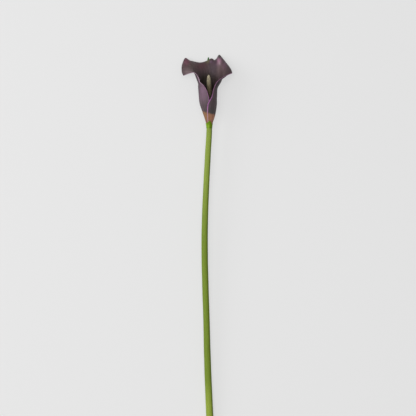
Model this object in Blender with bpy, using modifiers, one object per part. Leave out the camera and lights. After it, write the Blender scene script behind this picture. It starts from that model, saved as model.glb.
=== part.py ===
"""A cut calla lily, lying on its back: stem, collar, spathe and spadix.

The flower is modelled upright and then laid down. Upright, its zero is the top of the stem: +Z runs
up through the head, +X to the right of someone who faces the opening, and -Y towards that person.
Sizes are in millimetres, and MM turns them into Blender's metres.
"""
import math

import bmesh
import bpy
import numpy as np
from mathutils import Matrix, Vector

MM = 0.001
COLLECTION = "calla_lily"

# Where the laid flower's zero sits in the part's frame, and how far the head end is raised.
FOOT_AT = (199.9, -3.6, 25.6)
LEAN_DEG = 2.27

# Stem: height, sideways bow and radius from the top to the cut end.
STEM = (
    (-3.4, 0.0, 4.1),
    (-14.0, -0.1, 4.2),
    (-45.0, -1.8, 4.35),
    (-105.0, -4.9, 4.5),
    (-165.0, -6.9, 4.75),
    (-255.0, -5.7, 4.85),
    (-300.0, -4.2, 4.85),
    (-345.0, -3.2, 5.05),
    (-435.0, 0.2, 5.4),
    (-501.0, 3.2, 5.65),
)
STEM_RINGS = 44
STEM_SIDES = 16

# Collar: height and radius down its outer side.
COLLAR_OUTSIDE = (
    (-2.4, 5.65),
    (-3.4, 5.45),
    (-4.8, 5.2),
    (-6.4, 4.85),
    (-8.0, 4.65),
    (-10.4, 4.6),
    (-10.8, 4.5),
)
COLLAR_BORE = 4.4
COLLAR_MOUTH = 5.3
# The bore widens to the mouth over this height, just below the top of the stem.
COLLAR_SEAT = 0.5
COLLAR_STEPS = 32
MERGE_DISTANCE = 0.01

# Spadix: height, sideways place and radius from its foot to its tip.
SPADIX = (
    (-3.1, 0.4, 2.2),
    (6.0, 1.2, 2.7),
    (20.0, 1.5, 3.1),
    (36.0, 1.1, 3.4),
    (50.0, 0.1, 3.4),
    (62.0, -0.7, 3.0),
    (66.5, -1.0, 2.1),
    (68.3, -1.1, 0.9),
)
SPADIX_RINGS = 26
SPADIX_SIDES = 14

# Spathe, lower part: height, half width, half depth, sideways shift, and the angles at which the leaf's
# left and right edges end, counted from the back. Past 180 degrees the edges overlap at the front.
FUNNEL = (
    (-3.0, 3.95, 3.95, 0.0, -200, 210),
    (0.0, 5.4, 5.3, -0.4, -199, 208),
    (4.5, 7.0, 7.0, -0.1, -198, 203),
    (13.5, 9.6, 9.5, -0.6, -195, 195),
    (19.5, 11.5, 11.2, -1.3, -193, 189),
    (25.0, 12.4, 12.2, -1.8, -191, 182),
    (31.0, 13.0, 12.8, -2.2, -189, 170),
    (36.0, 13.3, 13.0, -2.4, -186, 157),
    (41.0, 13.5, 13.2, -2.5, -181, 147),
    (47.0, 13.9, 13.5, -2.5, -171, 146),
    (52.0, 14.7, 13.9, -2.1, -158, 145),
    (57.0, 16.4, 14.6, -1.1, -134, 139),
    (63.0, 19.2, 15.7, 0.6, -118, 128),
    (70.0, 22.5, 17.0, 1.6, -105, 118),
)
FRONT_HEIGHTS = (-3.0, 4.5, 13.5, 25.0, 36.0, 47.0, 57.0)
BACK_HEIGHTS = (-3.0, 4.5, 13.5, 27.0, 41.0, 55.0, 69.0)

# Spathe, flared part: how far round the leaf from its left edge (-1) to its right edge (1), a point on
# the swell of the flare, and a point on the fold of the lip, each as (height, across, out).
FLARE = (
    (-1.00, (72.0, -23.0, 3.0), (68.2, -39.4, -9.5)),
    (-0.85, (75.5, -26.0, -1.5), (77.0, -41.3, -14.0)),
    (-0.70, (79.5, -26.5, -6.5), (86.5, -40.4, -19.0)),
    (-0.57, (84.0, -25.0, -12.0), (95.4, -35.6, -24.0)),
    (-0.49, (85.0, -22.0, -14.0), (92.4, -31.0, -24.3)),
    (-0.38, (84.5, -17.5, -16.5), (90.5, -24.5, -24.5)),
    (-0.20, (84.0, -10.0, -18.0), (88.6, -13.0, -24.3)),
    (-0.04, (85.0, -3.5, -18.5), (91.3, -3.5, -24.3)),
    (0.08, (86.0, 2.0, -18.0), (94.7, 3.3, -24.3)),
    (0.21, (86.0, 7.5, -17.0), (92.3, 8.5, -24.0)),
    (0.28, (87.0, 10.5, -16.0), (95.0, 11.3, -23.5)),
    (0.35, (88.5, 13.5, -15.0), (100.0, 14.7, -23.0)),
    (0.45, (87.0, 17.0, -12.5), (95.8, 19.2, -22.5)),
    (0.60, (83.0, 21.5, -9.0), (89.2, 25.0, -19.5)),
    (0.80, (73.2, 25.8, -4.0), (81.3, 31.0, -14.5)),
    (0.91, (67.2, 26.3, 0.0), (76.0, 33.7, -11.0)),
    (1.00, (66.0, 20.0, 5.0), (71.6, 34.1, -8.0)),
)
# The lip rolls under in two steps past the fold: height lost at the back, share drawn in, and way back.
LIP_ROLL = ((-0.8, -0.015, -2.4), (-3.6, -0.05, -4.2))
ROW_KEYS = (0.0, 0.07, 0.16, 0.28, 0.4, 0.52, 0.64, 0.8, 0.92, 0.955, 1.0)
# The leaf's pointed tip: how far round the rim it spreads from the back, and how far it stands up.
TAIL_SPREAD = 0.06
TAIL_LENGTH = 7.5

WALL = 0.9
# The right edge lies this far outside the leaf's middle line, and the left edge as far inside it, from
# the wrap angle on.
FLAP_STEP = 0.62
WRAP_ANGLE = 150.0
SPATHE_COLUMNS = 48
SPATHE_ROWS = 30

STEM_GREEN = (0.27, 0.36, 0.07, 1.0)
COLLAR_GREEN = (0.13, 0.32, 0.01, 1.0)
SPADIX_KHAKI = (0.42, 0.37, 0.22, 1.0)
SPATHE_PURPLE = (0.075, 0.045, 0.055, 1.0)


def through(keys, values, at):
    """The value at `at` on a smooth curve that passes through each value at its key."""
    keys = np.asarray(keys, dtype=float)
    values = np.asarray(values, dtype=float).reshape(len(keys), -1)
    steps = np.diff(keys)[:, None]
    slopes = np.diff(values, axis=0) / steps
    inner = (slopes[:-1] * steps[1:] + slopes[1:] * steps[:-1]) / (steps[:-1] + steps[1:])
    first = 1.5 * slopes[:1] - 0.5 * inner[:1]
    last = 1.5 * slopes[-1:] - 0.5 * inner[-1:]
    tangents = np.vstack((first, inner, last))
    i = int(np.clip(np.searchsorted(keys, at) - 1, 0, len(steps) - 1))
    step = steps[i, 0]
    u = (at - keys[i]) / step
    start = (1 + 2 * u) * (1 - u) ** 2 * values[i] + u * (1 - u) ** 2 * step * tangents[i]
    end = u * u * (3 - 2 * u) * values[i + 1] - u * u * (1 - u) * step * tangents[i + 1]
    return start + end


def upright(height, across, out):
    """A point of the upright flower, in metres."""
    return Vector((across, -out, height)) * MM


def remove_everything():
    for item in list(bpy.data.objects):
        bpy.data.objects.remove(item, do_unlink=True)


def finish_material(name, colour, roughness):
    material = bpy.data.materials.new(name)
    material.use_nodes = True
    shader = material.node_tree.nodes["Principled BSDF"]
    shader.inputs["Base Color"].default_value = colour
    shader.inputs["Roughness"].default_value = roughness
    return material


def add_part(name, data, holder, colour, roughness):
    """Put a sub-part in the flower's collection, on the holder that lays the flower down."""
    part = bpy.data.objects.new(name, data)
    bpy.data.collections[COLLECTION].objects.link(part)
    part.parent = holder
    data.materials.append(finish_material(name, colour, roughness))
    return part


def make_holder():
    """An empty at the top of the stem, which lays the upright flower on its back."""
    collection = bpy.data.collections.new(COLLECTION)
    bpy.context.scene.collection.children.link(collection)
    holder = bpy.data.objects.new("flower_holder", None)
    collection.objects.link(holder)
    laid = Matrix(((0, 0, 1), (-1, 0, 0), (0, -1, 0))).to_4x4()
    lean = Matrix.Rotation(math.radians(-LEAN_DEG), 4, "Y")
    holder.matrix_world = Matrix.Translation(Vector(FOOT_AT) * MM) @ lean @ laid
    return holder


def make_tube(name, stations, rings, sides):
    """A round curve with a radius at each of its points, through (height, across, radius) stations."""
    heights = [station[0] for station in stations]
    direction = 1 if heights[-1] > heights[0] else -1
    keys = [height * direction for height in heights]
    curve = bpy.data.curves.new(name, "CURVE")
    curve.dimensions = "3D"
    curve.bevel_depth = MM
    # Blender gives a bevelled curve two sides more for each step, from four.
    curve.bevel_resolution = (sides - 4) // 2
    curve.use_fill_caps = True
    spline = curve.splines.new("POLY")
    spline.points.add(rings - 1)
    for i, point in enumerate(spline.points):
        key = keys[0] + (keys[-1] - keys[0]) * i / (rings - 1)
        across, radius = through(keys, [station[1:] for station in stations], key)
        point.co = (*upright(key * direction, across, 0.0), 1.0)
        point.radius = radius
    return curve


def make_stem(holder):
    curve = make_tube("stem", STEM, STEM_RINGS, STEM_SIDES)
    return add_part("stem", curve, holder, STEM_GREEN, 0.45)


def make_spadix(holder):
    curve = make_tube("spadix", SPADIX, SPADIX_RINGS, SPADIX_SIDES)
    return add_part("spadix", curve, holder, SPADIX_KHAKI, 0.8)


def make_collar(holder):
    """A turned ring that hugs the top of the stem and opens round the foot of the spathe."""
    top, bottom = COLLAR_OUTSIDE[0][0], COLLAR_OUTSIDE[-1][0]
    stem_top = STEM[0][0]
    inside = (
        (bottom, COLLAR_BORE),
        (stem_top - COLLAR_SEAT, COLLAR_BORE),
        (stem_top, COLLAR_MOUTH),
        (top, COLLAR_MOUTH),
    )
    mesh = bpy.data.meshes.new("collar")
    shape = bmesh.new()
    profile = []
    for height, radius in COLLAR_OUTSIDE + inside:
        profile.append(shape.verts.new((radius * MM, 0.0, height * MM)))
    for i, vertex in enumerate(profile):
        shape.edges.new((vertex, profile[(i + 1) % len(profile)]))
    shape.to_mesh(mesh)
    shape.free()
    collar = add_part("collar", mesh, holder, COLLAR_GREEN, 0.4)
    collar.location = upright(0.0, STEM[0][1], 0.0)
    screw = collar.modifiers.new("turn", "SCREW")
    screw.steps = screw.render_steps = COLLAR_STEPS
    screw.use_merge_vertices = True
    screw.merge_threshold = MERGE_DISTANCE * MM
    return collar


def funnel_point(height, side):
    """A point of the rolled lower leaf, whose right edge laps over its left one."""
    heights = [row[0] for row in FUNNEL]
    shapes = [row[1:] for row in FUNNEL]
    half_width, half_depth, shift, left, right = through(heights, shapes, height)
    turn = right * side if side > 0 else -left * side
    lap = FLAP_STEP * max(-1.0, min(1.0, turn / WRAP_ANGLE))
    angle = math.radians(turn)
    across = shift + (half_width + lap) * math.sin(angle)
    return height, across, -(half_depth + lap) * math.cos(angle)


def tail_height(side):
    """How far the leaf's pointed tip stands above the rest of its rim."""
    return TAIL_LENGTH * max(0.0, 1 - abs(side) / TAIL_SPREAD) ** 2


def spathe_column(side):
    """The leaf's line from foot to rim at one place round it, as points to pass through."""
    backness = 0.5 + 0.5 * math.cos(math.pi * side)
    heights = [front + (back - front) * backness for front, back in zip(FRONT_HEIGHTS, BACK_HEIGHTS)]
    column = [funnel_point(height, side) for height in heights]
    sides = [station[0] for station in FLARE]
    swell = through(sides, [station[1] for station in FLARE], side)
    fold = through(sides, [station[2] for station in FLARE], side)
    column += [tuple(swell), tuple(fold)]
    for lost, drawn, back in LIP_ROLL:
        column.append((fold[0] + lost * backness, fold[1] * (1 + drawn), fold[2] + back))
    height, across, out = column.pop()
    return column + [(height + tail_height(side), across, out)]


def make_spathe(holder):
    """One leaf: a flat grid bent round the funnel and out over the flare, then given its wall."""
    mesh = bpy.data.meshes.new("spathe")
    leaf = bmesh.new()
    bmesh.ops.create_grid(leaf, x_segments=SPATHE_COLUMNS, y_segments=SPATHE_ROWS, size=1.0)
    columns = {}
    for vertex in leaf.verts:
        side, rise = round(vertex.co.x, 6), (vertex.co.y + 1) / 2
        if side not in columns:
            columns[side] = spathe_column(side)
        vertex.co = upright(*through(ROW_KEYS, columns[side], rise))
    leaf.to_mesh(mesh)
    leaf.free()
    mesh.shade_smooth()
    spathe = add_part("spathe", mesh, holder, SPATHE_PURPLE, 0.5)
    wall = spathe.modifiers.new("wall", "SOLIDIFY")
    wall.thickness = WALL * MM
    wall.offset = 0.0
    return spathe


def main():
    remove_everything()
    holder = make_holder()
    make_stem(holder)
    make_collar(holder)
    make_spathe(holder)
    make_spadix(holder)


main()
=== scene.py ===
"""Looks for a cut calla lily that lies on its back: spathe, spadix, collar and stem.

Each shape is worked out as the flower grows and is then laid down. Upright, height runs up from the
top of the stem, across runs to the right of someone who faces the opening, and out towards that
person. Tables of shapes are in millimetres, and MM turns them into Blender's metres.
"""
import math

import bmesh
import bpy
import numpy as np
from bpy.props import FloatProperty, FloatVectorProperty, IntProperty, PointerProperty
from mathutils import Matrix, Vector


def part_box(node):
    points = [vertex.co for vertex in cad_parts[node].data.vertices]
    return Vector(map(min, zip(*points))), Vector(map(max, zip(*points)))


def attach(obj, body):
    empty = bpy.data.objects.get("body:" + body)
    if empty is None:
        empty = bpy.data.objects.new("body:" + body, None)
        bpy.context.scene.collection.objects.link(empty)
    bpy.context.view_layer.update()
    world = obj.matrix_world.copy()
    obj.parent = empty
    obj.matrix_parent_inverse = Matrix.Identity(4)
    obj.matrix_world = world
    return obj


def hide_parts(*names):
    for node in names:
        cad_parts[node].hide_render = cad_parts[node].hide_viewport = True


bl_info = {
    "name": "Calla lily flower",
    "version": (1, 0, 0),
    "blender": (4, 5, 0),
    "location": "3D View > Sidebar > Calla lily",
    "description": "A dark calla lily with its spathe, spadix, collar and cut stem",
    "category": "Add Mesh",
}

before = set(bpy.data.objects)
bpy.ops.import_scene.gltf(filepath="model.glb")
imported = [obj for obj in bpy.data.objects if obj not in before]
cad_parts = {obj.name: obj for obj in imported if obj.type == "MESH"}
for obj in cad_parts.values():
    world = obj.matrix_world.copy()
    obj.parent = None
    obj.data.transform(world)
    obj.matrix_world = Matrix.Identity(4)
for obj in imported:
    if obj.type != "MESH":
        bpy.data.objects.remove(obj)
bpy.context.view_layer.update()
COLLAR_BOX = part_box("collar")

MM = 0.001
LEAN = math.radians(2.27)

# ---------------------------------------------------------------- shapes

# Stem: height, sideways bow and radius from the top to the cut end.
STEM = (
    (-3.4, 0.0, 4.1),
    (-14.0, -0.1, 4.2),
    (-45.0, -1.8, 4.35),
    (-105.0, -4.9, 4.5),
    (-165.0, -6.9, 4.75),
    (-255.0, -5.7, 4.85),
    (-300.0, -4.2, 4.85),
    (-345.0, -3.2, 5.05),
    (-435.0, 0.2, 5.4),
    (-501.0, 3.2, 5.65),
)

# Collar: height and radius down its outer side.
COLLAR_OUTSIDE = (
    (-2.4, 5.65),
    (-3.4, 5.45),
    (-4.8, 5.2),
    (-6.4, 4.85),
    (-8.0, 4.65),
    (-10.4, 4.6),
    (-10.8, 4.5),
)
# Collar: how high its top edge stands, by the angle round it from the back, and rising to the right.
COLLAR_EDGE = (
    (-180.0, -0.4),
    (-169.0, -1.1),
    (-154.0, -2.3),
    (-136.0, -3.0),
    (-111.0, -3.4),
    (-75.0, -2.6),
    (-40.0, -3.4),
    (0.0, -1.2),
    (45.0, -3.4),
    (85.0, -3.0),
    (118.0, -4.9),
    (136.0, -4.7),
    (147.0, -2.2),
    (158.0, -0.5),
    (170.0, -0.1),
    (180.0, -0.4),
)
# How far the leaf's outer layer is from its middle line at the collar, by the same angles.
COLLAR_LAPS = (
    (-180.0, 0.62),
    (-156.0, 0.62),
    (-138.0, -0.45),
    (-90.0, -0.37),
    (0.0, 0.0),
    (90.0, 0.37),
    (150.0, 0.62),
    (180.0, 0.62),
)
# The collar's outer side is this far outside the middle of the leaf's outer layer.
COLLAR_FIT = 0.7

# Spadix: height, sideways place and radius over its florets, from its foot to its tip.
SPADIX = (
    (-3.1, 0.4, 2.2),
    (6.0, 1.2, 2.7),
    (20.0, 1.5, 3.1),
    (36.0, 1.1, 3.4),
    (50.0, 0.1, 3.4),
    (62.0, -0.7, 3.0),
    (66.5, -1.0, 2.1),
    (68.3, -1.1, 0.9),
)
# The body goes on past the last row, and is thinner than the florets that stand on it.
SPADIX_END = 0.6
FLORET_STANDS = 0.3
# The spadix's colours run from this height over this length.
SPADIX_RISE = (-3.0, 72.0)
# How far each floret is round the spadix from the one before it, as a share of a turn.
GOLDEN_TURN = 0.381966

# Spathe, lower part: height, half width, half depth, sideways shift, and the angles at which the leaf's
# left and right edges end, counted from the back. Past 180 degrees the edges overlap at the front.
FUNNEL = (
    (-5.5, 3.6, 3.6, 0.0, -200, 211),
    (-2.4, 4.45, 4.45, -0.2, -200, 210),
    (0.0, 5.4, 5.3, -0.4, -199, 208),
    (4.5, 7.0, 7.0, -0.1, -198, 203),
    (13.5, 9.6, 9.5, -0.6, -195, 195),
    (19.5, 11.5, 11.2, -1.3, -193, 189),
    (25.0, 12.4, 12.2, -1.8, -191, 182),
    (31.0, 13.0, 12.8, -2.2, -189, 170),
    (36.0, 13.3, 13.0, -2.4, -186, 157),
    (41.0, 13.5, 13.2, -2.5, -181, 147),
    (47.0, 13.9, 13.5, -2.5, -171, 146),
    (52.0, 14.7, 13.9, -2.1, -158, 145),
    (57.0, 16.4, 14.6, -1.1, -134, 139),
    (63.0, 19.2, 15.7, 0.6, -118, 128),
    (70.0, 22.5, 17.0, 1.6, -105, 118),
)
FRONT_HEIGHTS = (-5.5, 4.5, 13.5, 25.0, 36.0, 47.0, 57.0)
BACK_HEIGHTS = (-5.5, 4.5, 13.5, 27.0, 41.0, 55.0, 69.0)

# Spathe, flared part: how far round the leaf from its left edge (-1) to its right edge (1), a point on
# the swell of the flare, and a point on the fold of the lip, each as (height, across, out).
FLARE = (
    (-1.00, (72.0, -23.0, 3.0), (68.2, -39.4, -9.5)),
    (-0.85, (75.5, -26.0, -1.5), (77.0, -41.3, -14.0)),
    (-0.70, (79.5, -26.5, -6.5), (86.5, -40.4, -19.0)),
    (-0.57, (84.0, -25.0, -12.0), (95.4, -35.6, -24.0)),
    (-0.49, (85.0, -22.0, -14.0), (92.4, -31.0, -24.3)),
    (-0.38, (84.5, -17.5, -16.5), (90.5, -24.5, -24.5)),
    (-0.20, (84.0, -10.0, -18.0), (88.6, -13.0, -24.3)),
    (-0.04, (85.0, -3.5, -18.5), (91.3, -3.5, -24.3)),
    (0.08, (86.0, 2.0, -18.0), (94.7, 3.3, -24.3)),
    (0.21, (86.0, 7.5, -17.0), (92.3, 8.5, -24.0)),
    (0.28, (87.0, 10.5, -16.0), (95.0, 11.3, -23.5)),
    (0.35, (88.5, 13.5, -15.0), (100.0, 14.7, -23.0)),
    (0.45, (87.0, 17.0, -12.5), (95.8, 19.2, -22.5)),
    (0.60, (83.0, 21.5, -9.0), (89.0, 24.6, -19.5)),
    (0.80, (73.2, 25.8, -4.0), (81.1, 30.4, -14.5)),
    (0.91, (67.2, 25.0, 0.0), (75.8, 33.3, -11.0)),
    (1.00, (66.0, 21.0, 4.5), (71.6, 34.1, -8.0)),
)
# The lip rolls under in two steps past the fold: height lost at the back, share drawn in, way back, and
# how far up the corners are tucked.
LIP_ROLL = ((-0.8, -0.015, -2.4, 0.5), (-3.6, -0.05, -4.2, 1.9))
# Where a column of the leaf has its points between foot (0) and rim (1): the funnel's seven, the swell,
# the fold and the lip's two.
ROW_KEYS = (0.0, 0.07, 0.16, 0.28, 0.4, 0.52, 0.64, 0.8, 0.92, 0.955, 1.0)
# The right edge lies this far outside the leaf's middle line, and the left edge as far inside it, from
# the wrap angle on. Inside the collar, between the two heights, this comes down to nothing.
FLAP_STEP = 0.62
WRAP_ANGLE = 150.0
FLAP_START = (-6.0, 0.0)

# How far the leaf's left edge is pushed to the right at the neck, by height.
EDGE_WAVE = (
    (46.0, 0.0),
    (50.0, 0.3),
    (53.0, 1.3),
    (55.5, 0.8),
    (58.5, -0.2),
    (61.5, 1.0),
    (64.5, 1.3),
    (67.5, 1.1),
    (70.5, 0.6),
    (74.0, 0.0),
)

# The leaf's tip, a short green tail on the back of the lip: height, across, out, half width and half
# thickness from the rim to its end.
TAIL = (
    (88.6, -1.6, -28.3, 3.2, 0.4),
    (90.4, -1.6, -27.9, 2.3, 0.7),
    (92.2, -1.5, -27.2, 1.6, 0.95),
    (94.2, -1.4, -26.6, 1.25, 1.0),
    (95.9, -1.3, -26.3, 1.0, 0.85),
    (97.0, -1.4, -26.2, 0.6, 0.5),
)

# The stage, in metres: half the floor's side, what the lights point at, and the middle of the camera's
# view, measured from the top of the stem.
FLOOR_REACH = 6.0
LIGHT_AIM = (0.1, 0.0, 0.0)
VIEW_MIDDLE = (-0.1305, 0.00195)

# ---------------------------------------------------------------- colours


def tone(code):
    """A colour written as six hex digits, as the linear red, green and blue that Blender works in."""
    parts = [int(code[i:i + 2], 16) / 255 for i in (0, 2, 4)]
    return tuple(p / 12.92 if p <= 0.04045 else ((p + 0.055) / 1.055) ** 2.4 for p in parts)


# Patches on the spathe, some of its own tint, some painted light and some painted shade, as marked: face,
# height, across, reach up, reach across, colour and strength. Each one goes over those before it.
TINT_LIGHT_AND_SHADE_WASHES = (
    ("inside", 84.0, -29.0, 15.0, 12.0, "544546", 0.9),
    # Painted light: a paler band on the left ear's flare, where it faces the light.
    ("inside", 74.5, -32.0, 4.5, 7.5, "776467", 0.8),
    ("inside", 90.5, -34.5, 7.0, 6.0, "6b4250", 0.9),
    ("inside", 82.0, -26.0, 7.0, 4.0, "4e423e", 0.6),
    ("inside", 84.0, -12.0, 6.0, 8.0, "583a40", 0.8),
    ("inside", 80.0, -3.0, 7.0, 6.0, "4a3638", 0.7),
    ("inside", 80.0, 6.0, 9.0, 6.0, "4c3d45", 0.8),
    ("inside", 87.5, 5.0, 4.0, 6.0, "56444e", 0.7),
    # Painted light: a paler band on the right ear's inner wall, where it faces the light.
    ("inside", 78.0, 14.5, 12.0, 3.2, "675456", 0.9),
    ("inside", 86.0, 9.5, 5.0, 2.5, "4c3c46", 0.8),
    # Painted highlight: lilac on the crest's fold, where it faces up into the light.
    ("inside", 91.0, 14.6, 6.0, 3.6, "9f768b", 1.0),
    ("inside", 87.3, 15.4, 2.5, 1.6, "958488", 0.8),
    ("inside", 90.5, 10.0, 4.5, 1.7, "47353f", 0.85),
    ("inside", 90.0, 1.8, 1.9, 2.8, "6d4f70", 0.7),
    ("inside", 80.0, 22.0, 8.0, 5.0, "665256", 0.8),
    ("inside", 84.0, 23.0, 6.0, 3.0, "6e4f60", 0.75),
    ("inside", 72.0, 20.0, 5.0, 6.0, "584848", 0.8),
    ("inside", 98.5, 15.5, 3.2, 3.5, "4d4b48", 0.9),
    # Painted shade: near-black patches deep in the throat, where little light gets in.
    ("inside", 52.0, 0.0, 13.0, 14.0, "231b12", 1.0),
    ("inside", 63.0, -8.0, 8.0, 6.0, "241f15", 0.9),
    ("inside", 69.0, -1.0, 4.0, 5.0, "30241f", 0.8),
    ("inside", 63.0, 7.0, 6.0, 5.0, "30231f", 0.8),
    # Painted highlight: a mauve sheen on the left flap's back, which faces the light.
    ("outside", 46.0, -9.0, 14.0, 7.0, "7a5d72", 0.95),
    ("outside", 34.0, -10.0, 9.0, 7.0, "735a6a", 0.7),
    ("outside", 22.0, -8.0, 8.0, 8.0, "594b50", 0.7),
    # Painted shade: the lower right flap's back, which faces away from the light.
    ("outside", 12.0, 5.0, 9.0, 8.0, "403d3c", 0.8),
    # Painted shade: dark strips down the leaf's left and right sides and the foot's right side, where its
    # back curves round out of the light.
    ("outside", 42.0, -17.5, 30.0, 2.4, "3c2c36", 0.9),
    ("outside", 30.0, 12.5, 34.0, 2.2, "33252a", 0.9),
    ("outside", 5.0, 8.6, 9.0, 1.8, "4a2f30", 0.9),
    # Painted shade: the upper right flap's back, which faces away from the light.
    ("outside", 56.0, 13.5, 13.0, 7.0, "2c2126", 0.95),
)
# A last patch goes over the lip where the leaf runs out into its green tip.
TIP_WASH = (91.0, -2.2, 3.5, 4.0, "5f5c3c", 0.75)
# The painted shade of the rolled lip comes in between these shares of the way from foot to rim.
LIP_SHADE_BAND = (0.893, 0.925)


def colour_setting(name, default, description):
    """A colour setting in linear red, green and blue."""
    return FloatVectorProperty(
        name=name, description=description, subtype="COLOR", size=3, min=0.0, max=1.0, default=tone(default)
    )


def length_setting(name, default, description):
    """A length setting, whose default is given in millimetres."""
    return FloatProperty(name=name, description=description, default=default * MM, unit="LENGTH")


class SpatheSettings(bpy.types.PropertyGroup):
    """Sizes and colours of the spathe, the one leaf that makes the flower's cup."""

    wall: length_setting("Wall", 0.9, "Thickness of the leaf")
    rib: length_setting("Rib", 0.07, "How far the leaf's long ribs stand out")
    curl: length_setting("Curl", 0.9, "How far the leaf's edges turn out")
    columns: IntProperty(name="Columns", description="Steps round the leaf", default=220, min=40)
    rows: IntProperty(name="Rows", description="Steps from foot to rim", default=150, min=30)
    inside: colour_setting("Inside", "4a3a3e", "The cup's lining")
    outside: colour_setting("Outside", "4b3f42", "The leaf's back")
    # Painted shade on the rolled lip, where it turns away from the light.
    lip: colour_setting("Lip", "3a2832", "The rolled rim")
    # Partly the edges' own pink, partly painted highlight on the rolled margins.
    edge: colour_setting("Edge", "a869a3", "The leaf's two free edges")
    foot: colour_setting("Foot", "8a6645", "The leaf's foot, above the collar")
    tail: colour_setting("Tail", "266c04", "The leaf's green tip")


class SpadixSettings(bpy.types.PropertyGroup):
    """Sizes and colours of the spadix, the finger in the cup."""

    florets: IntProperty(name="Florets", description="How many florets", default=1500, min=50)
    floret: length_setting("Floret", 0.95, "Width of one floret")
    seed: IntProperty(name="Seed", description="Which random sizes the florets get", default=4, min=0)
    tip: colour_setting("Tip", "aba187", "Florets near the tip")
    middle: colour_setting("Middle", "665b40", "Florets half way down")
    foot: colour_setting("Foot", "382e1a", "Florets deep in the cup")


class CollarSettings(bpy.types.PropertyGroup):
    """Sizes and colours of the collar between the stem and the spathe."""

    wall: length_setting("Wall", 0.4, "Thickness of the collar")
    # Pale patches: partly the collar's own mottle, partly painted highlight on its left side.
    light: colour_setting("Light", "7a9c22", "The collar's pale patches")
    deep: colour_setting("Deep", "5a7600", "The collar's main green")


class StemSettings(bpy.types.PropertyGroup):
    """Sizes and colours of the stem."""

    ribs: IntProperty(name="Ribs", description="Soft ribs round the stem", default=22, min=3)
    rib: length_setting("Rib depth", 0.06, "How far a rib stands out")
    spacing: length_setting("Vessel spacing", 0.75, "Between vessels on the cut face")
    vessel: length_setting("Vessel width", 0.36, "Width of a vessel on the cut face")
    seed: IntProperty(name="Seed", description="Where the vessels lie", default=7, min=0)
    young: colour_setting("Young", "86993e", "The stem near the flower")
    middle: colour_setting("Middle", "71862a", "The stem's middle")
    old: colour_setting("Old", "8a9c3a", "The stem near the cut")
    shade: colour_setting("Shade", "576510", "The long dark side of the stem")
    pith: colour_setting("Pith", "cfd6a0", "The cut face")


class StageSettings(bpy.types.PropertyGroup):
    """The floor, the lights and the camera."""

    distance: length_setting("Distance", 2200.0, "From the camera to the flower")
    field: length_setting("Field", 624.0, "Width that the camera takes in")
    floor: colour_setting("Floor", "8c8c8c", "The floor's paint")
    glow: FloatProperty(name="Glow", description="How brightly the floor is lit from below", default=0.525)
    sky: FloatProperty(name="Sky", description="Strength of the light all round", default=0.31)
    horizon: FloatProperty(name="Horizon", description="Strength of the light low down", default=0.78)
    top: FloatProperty(name="Top light", description="The wide light overhead", default=51.0, unit="POWER")
    side: FloatProperty(name="Side light", description="The large side light", default=19.0, unit="POWER")


class CallaSettings(bpy.types.PropertyGroup):
    """Everything a user may change on the calla lily."""

    spathe: PointerProperty(type=SpatheSettings, name="Spathe")
    spadix: PointerProperty(type=SpadixSettings, name="Spadix")
    collar: PointerProperty(type=CollarSettings, name="Collar")
    stem: PointerProperty(type=StemSettings, name="Stem")
    stage: PointerProperty(type=StageSettings, name="Stage")


# ---------------------------------------------------------------- curves through points


def through(keys, values, at):
    """Values at each of `at` on a smooth curve that passes through each value at its key."""
    keys = np.asarray(keys, dtype=float)
    values = np.asarray(values, dtype=float).reshape(len(keys), -1)
    at = np.atleast_1d(np.asarray(at, dtype=float))
    steps = np.diff(keys)[:, None]
    slopes = np.diff(values, axis=0) / steps
    inner = (slopes[:-1] * steps[1:] + slopes[1:] * steps[:-1]) / (steps[:-1] + steps[1:])
    first = 1.5 * slopes[:1] - 0.5 * inner[:1]
    last = 1.5 * slopes[-1:] - 0.5 * inner[-1:]
    tangents = np.vstack((first, inner, last))
    i = np.clip(np.searchsorted(keys, at) - 1, 0, len(steps) - 1)
    step = steps[i]
    u = (at - keys[i])[:, None] / step
    start = (1 + 2 * u) * (1 - u) ** 2 * values[i] + u * (1 - u) ** 2 * step * tangents[i]
    end = u * u * (3 - 2 * u) * values[i + 1] - u * u * (1 - u) * step * tangents[i + 1]
    return start + end


def columns_of(table):
    """A table's rows turned into its columns, as arrays."""
    return np.array(table, dtype=float).T


def smooth_step(low, high, value):
    """0 below low, 1 above high, and a smooth rise between them."""
    u = np.clip((value - low) / (high - low), 0.0, 1.0)
    return u * u * (3 - 2 * u)


def half_round(distance, radius):
    """Share of the full thickness at a distance from an edge that is rounded over radius."""
    return np.sqrt(np.clip(1 - (1 - np.clip(distance / radius, 0, 1)) ** 2, 0, 1))


def laid_down():
    """The matrix that takes an upright point, in metres, to its place in the frame."""
    low, high = COLLAR_BOX
    centre = (low + high) / 2
    # The collar's widest ring is its top one. It sets the box's top and bottom and, with the lean, how
    # far each end of the box reaches.
    top, bottom = COLLAR_OUTSIDE[0], COLLAR_OUTSIDE[-1]
    half_way = (top[0] + bottom[0]) / 2 * MM
    lean_reach = (top[1] - bottom[1]) / 2 * MM
    foot = Vector((
        centre.x - half_way * math.cos(LEAN) - lean_reach * math.sin(LEAN),
        centre.y,
        centre.z - top[0] * MM * math.sin(LEAN),
    ))
    turn = Matrix(((0, 0, 1), (-1, 0, 0), (0, -1, 0))).to_4x4()
    return Matrix.Translation(foot) @ Matrix.Rotation(-LEAN, 4, "Y") @ turn


# ---------------------------------------------------------------- meshes


def upright_points(points):
    """(height, across, out) rows in millimetres as upright x, y, z in metres."""
    points = np.asarray(points, dtype=float)
    return np.stack((points[..., 1], -points[..., 2], points[..., 0]), axis=-1) * MM


def add_values(mesh, name, kind, values):
    """Store one value for each point of the mesh, for its material to read."""
    attribute = mesh.attributes.new(name, kind, "POINT")
    field = {"FLOAT": "value", "FLOAT_VECTOR": "vector", "FLOAT_COLOR": "color"}[kind]
    attribute.data.foreach_set(field, np.asarray(values, dtype=np.float32).ravel())


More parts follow.
